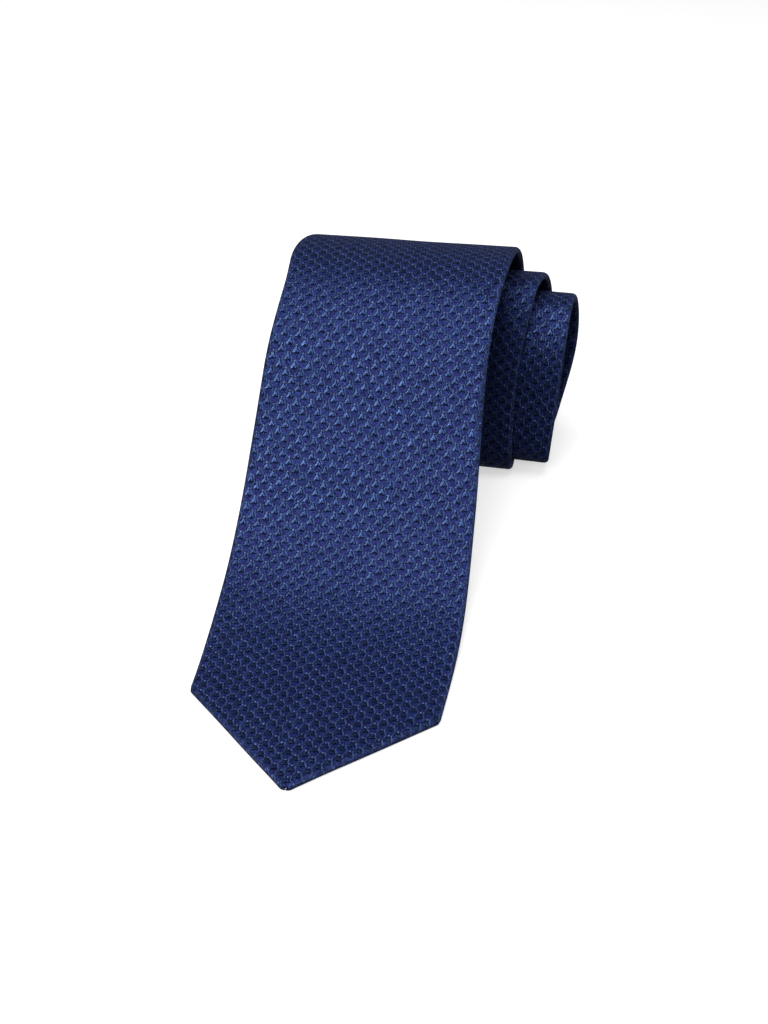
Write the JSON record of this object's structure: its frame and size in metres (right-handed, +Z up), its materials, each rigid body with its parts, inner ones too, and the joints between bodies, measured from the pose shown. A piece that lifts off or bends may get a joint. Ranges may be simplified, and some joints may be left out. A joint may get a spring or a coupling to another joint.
{
  "type": "rolled necktie",
  "caption": "Woven silk necktie wound into a standing roll, with its wide pointed blade sloping down in front and lying flat at the tip.",
  "frame": {"origin": "on the ground, under the middle of the whole piece's bounding box", "axes": "+X across the tie, +Y from the point of the wide blade towards the roll, +Z up"},
  "size_m": [0.1106, 0.2628, 0.0963],
  "materials": {
    "silk": "blue jacquard silk with a small light-blue arrowhead figure on navy",
    "canvas": "off-white wool canvas",
    "lining": "navy satin lining",
    "thread": "navy sewing thread",
    "label_cloth": "dark woven label cloth, plain",
    "care_cloth": "white satin ribbon, blank"
  },
  "bodies": {
    "root": {"blade_shell": "silk", "neck_shell": "silk", "tail_shell": "silk", "interlining": "canvas", "blade_tipping": "lining", "tail_tipping": "lining", "keeper_loop": "silk", "woven_label": "label_cloth", "care_label": "care_cloth", "slip_stitch": "thread", "blade_bar_tack": "thread", "tail_bar_tack": "thread"}
  },
  "joints": []
}
